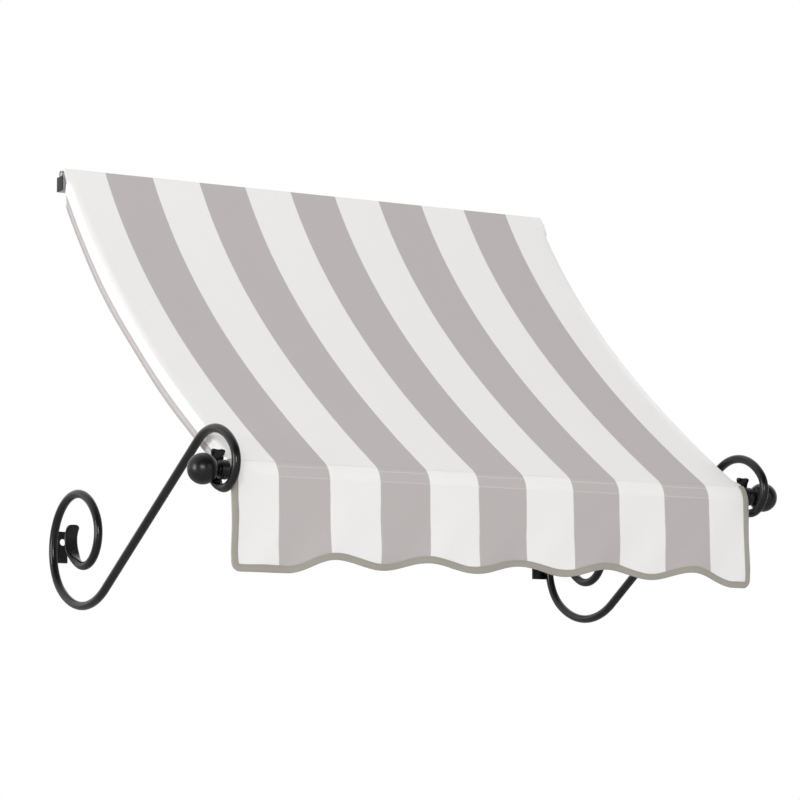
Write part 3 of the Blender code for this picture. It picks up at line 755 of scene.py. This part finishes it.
def along_edge():
    """The binding's path with its inward direction and distance gone, smoothed a little."""
    edge = [Vector(pair) for pair in binding_edge()]
    result = []
    gone = 0.0
    for i, point in enumerate(edge):
        before = edge[max(i - 1, 0)]
        after = edge[min(i + 1, len(edge) - 1)]
        along = (after - before).normalized()
        if i:
            gone += (point - edge[i - 1]).length
        result.append((point, Vector((along[1], -along[0])), gone))
    return result


def tape_width(gone):
    wander = noise.noise(Vector((gone * 9.0, 3.1, 0.4))) + 0.5 * noise.noise(Vector((gone * 31.0, 7.7, 1.9)))
    return BINDING_WIDTH + TAPE_WANDER * wander


def tape_face(width, face):
    """One face of the tape as (inset, out) pairs, from its free edge to its fold."""
    inside = CLOTH / 2 + TAPE_GAP
    outside = inside + TAPE_THICKNESS
    pairs = [(width, inside), (width + 0.0002, inside + TAPE_THICKNESS * 0.55), (width - 0.0004, outside)]
    pairs += [(width * 0.6, outside + 0.00012), (width * 0.25, outside + 0.00005)]
    return [(inset, face * out) for inset, out in pairs]


def add_binding():
    """Tape folded over the valance's sides and bottom, soft at its fold and slightly uneven in width."""
    inside = CLOTH / 2 + TAPE_GAP
    reach = (inside + TAPE_THICKNESS) * 1.02
    turns = [math.radians(-90.0 + 180.0 * i / 8) for i in range(9)]
    fold = [(-0.0002 - 0.0009 * math.cos(turn), reach * math.sin(turn)) for turn in turns]
    rings = []
    flats = []
    for point, inwards, gone in along_edge():
        front = tape_face(tape_width(gone), -1.0)
        back = tape_face(tape_width(gone + 5.0) + 0.001, 1.0)
        profile = front + fold + back[::-1] + [(0.0, inside), (0.0, -inside)]
        ring = []
        for inset, out in profile:
            spot = point + inwards * inset
            ring.append(valance_point(spot[0], spot[1], -out))
        rings.append(ring)
        flats += [(gone, length) for length in distances([Vector(pair) for pair in profile])]
    mesh = loft("valance_tape", rings)
    set_uvs(mesh, lambda index: flats[index])
    smooth(mesh, 50.0)
    return add_object("valance_tape", mesh, TAPE)


def add_stitches(name, places, material, length, radius):
    """One mesh of separate thread stitches; each place is (middle, direction, surface normal)."""
    sides = 6
    stations = ((-0.5, 0.25), (-0.4, 0.75), (-0.15, 1.0), (0.15, 1.0), (0.4, 0.75), (0.5, 0.25))
    points = []
    faces = []
    for middle, direction, normal in places:
        direction = direction.normalized()
        normal = normal.normalized()
        across = direction.cross(normal)
        first = len(points)
        for along, size in stations:
            lift = radius * (0.55 * size - 0.35)
            for i in range(sides):
                angle = 2 * math.pi * i / sides
                rise = radius * size * math.sin(angle) + lift
                offset = across * (radius * size * math.cos(angle)) + normal * rise
                points.append(tuple(middle + direction * (length * along) + offset))
        for k in range(len(stations) - 1):
            for i in range(sides):
                j = (i + 1) % sides
                a = first + k * sides
                b = a + sides
                faces.append((a + i, b + i, b + j, a + j))
        faces.append(tuple(first + i for i in range(sides)))
        last = first + (len(stations) - 1) * sides
        faces.append(tuple(last + sides - 1 - i for i in range(sides)))
    mesh = bpy.data.meshes.new(name)
    mesh.from_pydata(points, [], faces)
    mesh.shade_smooth()
    return add_object(name, mesh, material)


def valance_frame(x, drop, out):
    """A point on the valance's face, the direction along X there, and the outer normal."""
    here = valance_point(x, drop, out)
    along = valance_point(x + 0.002, drop, out) - valance_point(x - 0.002, drop, out)
    down = valance_point(x, drop + 0.001, out) - valance_point(x, drop - 0.001, out)
    normal = along.cross(down)
    if normal[1] > 0:
        normal.negate()
    return here, along, normal


def add_seam_rows():
    """The two rows that close the bar's pocket, seen on the cloth's outer face."""
    places = []
    count = int(2 * (VALANCE_HALF - SEAM_MARGIN) / SEAM_PITCH)
    for row, drop in enumerate(STITCH_ROWS):
        for i in range(count):
            x = (i - (count - 1) / 2 + 0.25 * row) * SEAM_PITCH
            jitter = noise.noise(Vector((x * 190.0, row * 5.0, 0.0)))
            places.append(valance_frame(x, drop + 0.00025 * jitter, CLOTH / 2))
    return add_stitches("seam_stitches", places, THREAD, SEAM_STITCH, SEAM_THREAD)


def add_binding_stitches():
    """The row that holds the tape, just inside its free edge, on the front and on the back."""
    places = []
    track = along_edge()
    goal = HEM_PITCH
    for (point, inwards, gone), (after, inwards_after, gone_after) in zip(track, track[1:]):
        while goal < gone_after:
            t = (goal - gone) / (gone_after - gone)
            here = point.lerp(after, t)
            side = inwards.lerp(inwards_after, t).normalized()
            along = Vector((-side[1], side[0]))
            width = tape_width(goal) - 0.0022
            spot = here + side * width
            for face in (1.0, -1.0):
                out = face * (CLOTH / 2 + 0.00105)
                middle, right, normal = valance_frame(spot[0], max(spot[1], 0.0004), out)
                ahead = max(spot[1] + along[1] * 0.001, 0.0005)
                direction = valance_frame(spot[0] + along[0] * 0.001, ahead, out)[0] - middle
                if direction.length < 1e-7:
                    direction = right
                places.append((middle, direction, normal * face))
            goal += HEM_PITCH
    return add_stitches("tape_stitches", places, TAPE_THREAD, HEM_STITCH, HEM_THREAD)


def add_sleeve():
    """The pocket behind the cloth that holds the bar, with its flap behind the valance."""
    half = VALANCE_HALF - SLEEVE_MARGIN
    end = -180.0 - SLEEVE_END_ANGLE
    path = arc(BAR_CENTRE, SLEEVE_RADIUS, 180.0 - SLEEVE_START_ANGLE, end, 56)
    flap_y = BEND_CENTRE[0] - BEND_RADIUS + CLOTH_IN_SOLIDS + 2 * GAP
    heading = on_circle((0, 0), 1.0, end - 90.0)
    meet = path[-1] + heading * ((flap_y - path[-1][0]) / heading[0])
    span = meet - path[-1]
    last = path[-1]
    path += [last + span * (i / 6) for i in range(1, 6)]
    path += [meet + Vector((0.0, -SLEEVE_FLAP * i / 6)) for i in range(7)]
    reach = distances(path)

    def across(column):
        return half * (2 * column / (SLEEVE_COLUMNS - 1) - 1)

    def place(column, row):
        x = across(column)
        pucker = 0.00025 * math.sin(x * 900.0) * min(max(reach[row] - 0.045, 0.0) / 0.01, 1.0)
        return (x, path[row][0] + pucker, path[row][1])

    def flat(column, row):
        return (across(column), reach[row])

    name = "sleeve_cloth"
    item = grid(name, SLEEVE_COLUMNS, len(path), place, flat, PLAIN, SLEEVE_THICKNESS)
    return item, reach[-1], half


def add_return_hems():
    """The narrow hem on the inner face of each side return, with its row of stitches on both faces."""
    stations = (0.64, 0.72, 0.80, 0.88, 0.96, 1.0)
    rows = [row for row in range(len(COVER_PATH)) if side_shape(row)[1] > SIDE_RETURN * 0.75]
    sides = []
    places = []
    for sign, word in SIDES:
        def spot(share, row, lift):
            distance = sign * (COVER_HALF + SIDE_FOLD + SIDE_RETURN * share)
            point = Vector(cover_place(distance, row))
            return point + Vector((-sign * lift, 0.0, 0.0))

        def place(column, k):
            return tuple(spot(stations[column], rows[k], HEM_LIFT))

        def flat(column, k):
            return (COVER_HALF + SIDE_FOLD + SIDE_RETURN * stations[column], COVER_REACH[rows[k]])

        name = f"return_hem_{word}"
        sides.append(grid(name, len(stations), len(rows), place, flat, STRIPED, HEM_THICKNESS))
        goal = COVER_REACH[rows[0]] + HEM_PITCH
        for row, after in zip(rows, rows[1:]):
            while goal < COVER_REACH[after]:
                t = (goal - COVER_REACH[row]) / (COVER_REACH[after] - COVER_REACH[row])
                for lift, face in ((-CLOTH / 2, 1.0), (0.00155, -1.0)):
                    a = spot(0.70, row, lift)
                    b = spot(0.70, after, lift)
                    places.append((a.lerp(b, t), b - a, Vector((sign * face, 0.0, 0.0))))
                goal += HEM_PITCH
    stitches = add_stitches("hem_stitches", places, THREAD, HEM_STITCH, HEM_THREAD)
    return sides, stitches


def add_welt():
    """The hem cord in the rail's channel, wrapped in the cloth's hem, with softened ends."""
    half = COVER_HALF + SIDE_FOLD
    sides = 28
    steps = 60
    profile = [(0.0, -half), (0.55, -half + 0.0001), (0.85, -half + 0.0006), (1.0, -half + 0.0016)]
    profile += [(1.0, -half + 0.0016 + (2 * half - 0.0032) * i / steps) for i in range(1, steps)]
    profile += [(1.0, half - 0.0016), (0.85, half - 0.0006), (0.55, half - 0.0001), (0.0, half)]
    rings = []
    for share, x in profile:
        ring = []
        for i in range(sides):
            angle = 2 * math.pi * i / sides
            wrinkle = 1.0 - 0.03 * max(noise.noise(Vector((x * 60.0, math.cos(angle), math.sin(angle)))), 0.0)
            radius = (WELT_RADIUS - 0.0001) * share * wrinkle
            y = CHANNEL_CENTRE[0] + radius * math.cos(angle)
            z = CHANNEL_CENTRE[1] + radius * math.sin(angle)
            ring.append((x, y, z))
        rings.append(ring)
    mesh = loft("welt_rope", rings, closed_ends=False)
    set_uvs(mesh, lambda index: (profile[index // sides][1], index % sides * 0.00094))
    smooth(mesh, 50.0)
    return add_object("welt_rope", mesh, PLAIN)


# The arms


class BentBar:
    """The centreline of a bar as it is bent, as straight runs and arcs in the (Y, Z) plane."""

    def __init__(self, start, heading):
        self.points = [Vector(start)]
        self.heading = heading

    def run(self, length, steps):
        direction = on_circle((0, 0), 1.0, self.heading)
        origin = self.points[-1]
        for i in range(1, steps + 1):
            self.points.append(origin + direction * (length * i / steps))

    def bend(self, radius, turn, step=0.0022):
        side = 1.0 if turn > 0 else -1.0
        centre = self.points[-1] + on_circle((0, 0), radius, self.heading + 90.0 * side)
        start = self.heading - 90.0 * side
        steps = max(4, round(radius * math.radians(abs(turn)) / step))
        self.points += arc(centre, radius, start, start + turn, steps)[1:]
        self.heading += turn


def arm_points():
    """Centreline of a scroll arm, from the tip behind the bar to the tip in the wall scroll."""
    front_turn = sum(turn for radius, turn in FRONT_BENDS)
    heading = front_turn - ARM_SLOPE
    along = on_circle((0, 0), 1.0, heading)
    to_wall = Vector((-along[1], along[0]))
    reach = HUB_RADIUS + GAP + FLAT_THICKNESS / 2
    tip = BAR_CENTRE + to_wall * reach - along * STRAP_TIP_RISE
    bar = BentBar(tip, heading)
    bar.run(FISHTAIL_CORNER, 8)
    bar.run(STRAP_LENGTH - FISHTAIL_CORNER, 22)
    for radius, turn in FRONT_BENDS:
        bar.bend(radius, -turn)
    straight_start = len(bar.points)
    for radius, turn in WALL_BENDS:
        bar.bend(radius, turn)
    bar.run(BLADE_CORNER, 12)
    wall_side = -(PLATE_THICKNESS + GAP + ROD_RADIUS)
    nearest = max(point[0] for point in bar.points[straight_start:])
    straight = (wall_side - nearest) / math.cos(math.radians(ARM_SLOPE))
    shift = on_circle((0, 0), straight, -ARM_SLOPE)
    joint = bar.points[straight_start - 1]
    run = [joint + shift * (i / STRAIGHT_STEPS) for i in range(1, STRAIGHT_STEPS + 1)]
    return bar.points[:straight_start] + run + [point + shift for point in bar.points[straight_start:]]


def arm_section(half_width, half_thickness, power):
    """A rounded oblong about the centreline: an ellipse at power 2, squarer above it."""
    outline = []
    for i in range(ARM_SIDES):
        angle = 2 * math.pi * (i + 0.5) / ARM_SIDES
        c = math.cos(angle)
        s = math.sin(angle)
        across = math.copysign(abs(c) ** (2 / power), c) * half_width
        through = math.copysign(abs(s) ** (2 / power), s) * half_thickness
        outline.append((across, through))
    return outline


def add_arm(side, word):
    """One round bar, hammered flat at both ends: flared at the bar, a round-cornered blade at the wall."""
    points = arm_points()
    reach = distances(points)
    total = reach[-1]
    rings = []
    for i, point in enumerate(points):
        tangent = tangent_at(points, i)
        normal = Vector((-tangent[1], tangent[0]))
        from_tip = min(reach[i], total - reach[i])
        at_front = reach[i] < total / 2
        round_share = (from_tip - FLAT_RUN) / TAPER_LENGTH
        width = blend(FLAT_WIDTH if at_front else BLADE_WIDTH, 2 * ROD_RADIUS, round_share)
        if at_front:
            width += blend(FISHTAIL_WIDTH - FLAT_WIDTH, 0.0, from_tip / FISHTAIL_LENGTH)
        corner = FISHTAIL_CORNER if at_front else BLADE_CORNER
        if from_tip < corner:
            width -= 2 * (corner - math.sqrt(max(corner ** 2 - (corner - from_tip) ** 2, 0.0)))
        thickness = blend(FLAT_THICKNESS, 2 * ROD_RADIUS, round_share)
        if from_tip < TIP_ROUND:
            thickness *= 0.55 + 0.45 * math.sqrt(from_tip / TIP_ROUND)
        power = blend(4.2, 2.0, round_share)
        forged = blend(1.0, 0.0, (from_tip - FLAT_RUN) / (TAPER_LENGTH * 1.6))
        ring = []
        for across, through in arm_section(width / 2, thickness / 2, power):
            share = across / (width / 2)
            knob = 0.0
            dip = 0.0
            if at_front:
                outer = blend(0.0, 1.0, (abs(share) - 0.35) / 0.5)
                knob = KNOB * outer * blend(1.0, 0.0, from_tip / KNOB_RUN)
                dip = TIP_DIP * blend(1.0, 0.0, from_tip / TIP_DIP_RUN) * (1 - share ** 2)
            mark = noise.noise(Vector((across * 130.0, from_tip * 75.0 + 9.0 * side, through * 60.0)))
            swell = 1.0 + forged * 0.05 * mark
            lift = through * swell + math.copysign(knob, through)
            place = point + normal * lift + tangent * dip
            ring.append((side * ARM_X + across, place[0], place[1]))
        rings.append(ring)
    mesh = loft(f"arm_{word}", rings)
    smooth(mesh, 40.0)
    item = add_object(f"forged_arm_{word}", mesh, BLACK)
    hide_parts(f"scroll_arm_{word}")
    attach(item, "root")
    return item


def add_weld(name, start, end, normal, radius, seed):
    """A short, lumpy weld bead between two points."""
    start = Vector(start)
    end = Vector(end)
    normal = Vector(normal).normalized()
    direction = (end - start).normalized()
    across = direction.cross(normal)
    steps = 34
    sides = 10
    rings = []
    for i in range(steps + 1):
        t = i / steps
        cap = math.sqrt(max(1 - (2 * t - 1) ** 8, 0.0))
        ripple = 1.0 + 0.16 * math.sin(t * 34.0) + 0.14 * noise.noise(Vector((t * 7.0, seed, 0.0)))
        size = max(radius * cap * ripple, 0.00005)
        middle = start.lerp(end, t)
        ring = []
        for k in range(sides):
            angle = 2 * math.pi * k / sides
            offset = across * (size * math.cos(angle)) + normal * (size * 0.8 * math.sin(angle))
            ring.append(tuple(middle + offset))
        rings.append(ring)
    mesh = loft(name, rings)
    smooth(mesh, 80.0)
    item = add_object(name, mesh, BLACK)
    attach(item, "root")
    return item


def add_ends(side, word):
    """Hub and ball on the bar's end, with the turned edges softened."""
    hub_x = BAR_HALF + SPIGOT_SHOWN
    socket = SPIGOT_RADIUS + GAP
    rim = HUB_RADIUS
    groove = HUB_RADIUS - 0.0006
    hub = [(socket, 0.004), (socket, 0.0), (rim - 0.0004, 0.0), (rim, 0.0012), (rim, 0.0052)]
    hub += [(groove, 0.0058), (groove, 0.0068), (rim, 0.0074), (rim, HUB_LENGTH - 0.0012)]
    hub += [(rim - 0.0014, HUB_LENGTH), (0.006, HUB_LENGTH)]
    mesh = turned_mesh(f"hub_{word}", rounded(hub, 0.0007), hub_x, side)
    collar = add_object(f"turned_hub_{word}", mesh, BLACK_SMOOTH)
    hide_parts(f"hub_{word}")
    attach(collar, "root")
    base = math.asin(NECK_RADIUS / BALL_RADIUS)
    centre = NECK_LENGTH + BALL_RADIUS * math.cos(base)
    steps = 44
    ball = []
    for i in range(steps + 1):
        angle = (math.pi - base) * i / steps
        ball.append((BALL_RADIUS * math.sin(angle), centre + BALL_RADIUS * math.cos(angle)))
    neck = [(NECK_RADIUS * 0.93, NECK_LENGTH * 0.72), (NECK_RADIUS * 0.93, NECK_LENGTH * 0.45)]
    neck += [(NECK_RADIUS * 1.12, NECK_LENGTH * 0.34), (NECK_RADIUS * 1.16, NECK_LENGTH * 0.16)]
    neck += [(NECK_RADIUS * 1.08, 0.0), (0.004, 0.0)]
    mesh = turned_mesh(f"ball_{word}", ball + neck, hub_x + HUB_LENGTH + GAP, side, 80)
    item = add_object(f"turned_ball_{word}", mesh, BLACK_SMOOTH)
    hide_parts(f"finial_ball_{word}")
    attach(item, "root")


def paint(node, material):
    """A CAD node whose shape stays gets its procedural material."""
    materials = NODES[node].data.materials
    materials.clear()
    materials.append(material)


cover, cover_area = add_cover()
valance, valance_area = add_valance()
binding = add_binding()
seam_rows = add_seam_rows()
tape_rows = add_binding_stitches()
sleeve, sleeve_length, sleeve_half = add_sleeve()
hems, hem_rows = add_return_hems()
welt = add_welt()

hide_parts("cover")
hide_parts("valance")
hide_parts("valance_binding")
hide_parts("bar_sleeve")
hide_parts("welt_cord")
for piece in (cover, valance, binding, seam_rows, tape_rows, sleeve, hem_rows, welt, *hems):
    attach(piece, "root")

full_width = 2 * (COVER_HALF + SIDE_FOLD + SIDE_RETURN)
min(cover_area, full_width * COVER_LENGTH)
longest_valance = BEND_LENGTH + VALANCE_DROP
min(valance_area, 2 * VALANCE_HALF * longest_valance)

bevelled_copy("head_rail", "extruded_rail", 0.00035, RAIL_METAL, 2, 40.0)
for side, word in SIDES:
    add_arm(side, word)
    add_ends(side, word)
    bevelled_copy(f"rail_cap_{word}", f"moulded_cap_{word}", 0.0004, CAP_BLACK, 3)
    bevelled_copy(f"wall_plate_{word}", f"steel_plate_{word}", 0.0009, BLACK, 3)
    paint(f"bar_plug_{word}", SPIGOT_METAL)
paint("front_bar", TUBE_METAL)

touch = max(arm_points(), key=lambda point: point[0])
for side, word in SIDES:
    for k, edge in enumerate((-1.0, 1.0)):
        x = side * ARM_X + edge * ROD_RADIUS * 0.42
        if side * edge > 0:
            x = side * ARM_X - side * ROD_RADIUS * 0.30
        y = -PLATE_THICKNESS - 0.0007
        start = (x, y, touch[1] - WELD_BELOW)
        end = (x, y, touch[1] + WELD_ABOVE)
        add_weld(f"weld_{word}_{k + 1}", start, end, (0.0, -1.0, 0.0), WELD_RADIUS, 3.0 * k + side)


# Floor, light and camera


def add_floor():
    mesh = bpy.data.meshes.new("floor")
    corners = ((-1, -1), (1, -1), (1, 1), (-1, 1))
    mesh.from_pydata([(x * FLOOR_SIZE, y * FLOOR_SIZE, FLOOR_HEIGHT) for x, y in corners], [], [(0, 1, 2, 3)])
    floor = bpy.data.objects.new("floor", mesh)
    bpy.context.scene.collection.objects.link(floor)
    n = Nodes("floor")
    n.set(Base_Color=FLOOR_GREY, Roughness=0.9, Specular_IOR_Level=0.1, Emission_Color=(1.0, 1.0, 1.0, 1.0))
    seen = n.add("ShaderNodeLightPath").outputs["Is Camera Ray"]
    n.feed("Emission Strength", n.math("MULTIPLY", seen, FLOOR_SEEN))
    mesh.materials.append(n.material)


def add_world():
    """Even light all round. Glossy rays see it bright behind the wall plane and dim in front."""
    world = bpy.data.worlds.new("studio")
    bpy.context.scene.world = world
    world.use_nodes = True
    tree = world.node_tree
    background = tree.nodes["Background"]
    background.inputs["Color"].default_value = (1.0, 1.0, 1.0, 1.0)
    path = tree.nodes.new("ShaderNodeLightPath")
    split = tree.nodes.new("ShaderNodeSeparateXYZ")
    tree.links.new(tree.nodes.new("ShaderNodeTexCoord").outputs["Generated"], split.inputs[0])
    studio = tree.nodes.new("ShaderNodeMapRange")
    for name, value in (("From Min", -0.5), ("From Max", 0.3), ("To Min", FRONT_GLOSS), ("To Max", 1.0)):
        studio.inputs[name].default_value = value
    tree.links.new(split.outputs["Y"], studio.inputs["Value"])
    level = WORLD_LIGHT
    levels = {"Is Glossy Ray": studio.outputs["Result"], "Is Transmission Ray": 1.0, "Is Camera Ray": 1.0}
    for name, seen in levels.items():
        step = tree.nodes.new("ShaderNodeMix")
        tree.links.new(path.outputs[name], step.inputs[0])
        plug(tree, step.inputs[2], level)
        plug(tree, step.inputs[3], seen)
        level = step.outputs[0]
    tree.links.new(level, background.inputs["Strength"])


def add_area(name, place, width, height, watts):
    light = bpy.data.lights.new(name, "AREA")
    light.shape = "RECTANGLE"
    light.size = width
    light.size_y = height
    light.energy = watts
    item = bpy.data.objects.new(name, light)
    item.location = place
    item.rotation_euler = (MIDDLE - Vector(place)).to_track_quat("-Z", "Y").to_euler()
    bpy.context.scene.collection.objects.link(item)


def add_camera():
    """The photograph's view: from the front left, a little below the awning."""
    yaw = math.radians(CAMERA_YAW)
    pitch = math.radians(CAMERA_PITCH)
    roll = math.radians(CAMERA_ROLL)
    forward = Vector((math.sin(yaw) * math.cos(pitch), math.cos(yaw) * math.cos(pitch), math.sin(pitch)))
    level = Vector((math.cos(yaw), -math.sin(yaw), 0.0))
    over = level.cross(forward)
    right = level * math.cos(roll) + over * math.sin(roll)
    up = -level * math.sin(roll) + over * math.cos(roll)
    data = bpy.data.cameras.new("camera")
    data.sensor_width = 36.0
    data.lens = FOCAL_PIXELS / PICTURE_PIXELS * data.sensor_width
    data.shift_x = SHIFT_PIXELS / PICTURE_PIXELS
    data.clip_end = 100.0
    camera = bpy.data.objects.new("camera", data)
    rows = [(right[i], up[i], -forward[i], CAMERA_PLACE[i]) for i in range(3)]
    camera.matrix_world = Matrix((*rows, (0.0, 0.0, 0.0, 1.0)))
    bpy.context.scene.collection.objects.link(camera)
    bpy.context.scene.camera = camera


add_floor()
add_world()
add_area("front", (-4.2, -7.0, 0.5), 3.0, 2.1, 230.0)
add_area("fill", (2.5, -7.5, 0.8), 3.4, 3.4, 50.0)
add_area("side", (-7.5, -0.6, 0.2), 2.0, 3.0, 230.0)
add_camera()
bpy.context.scene.view_settings.view_transform = "Standard"
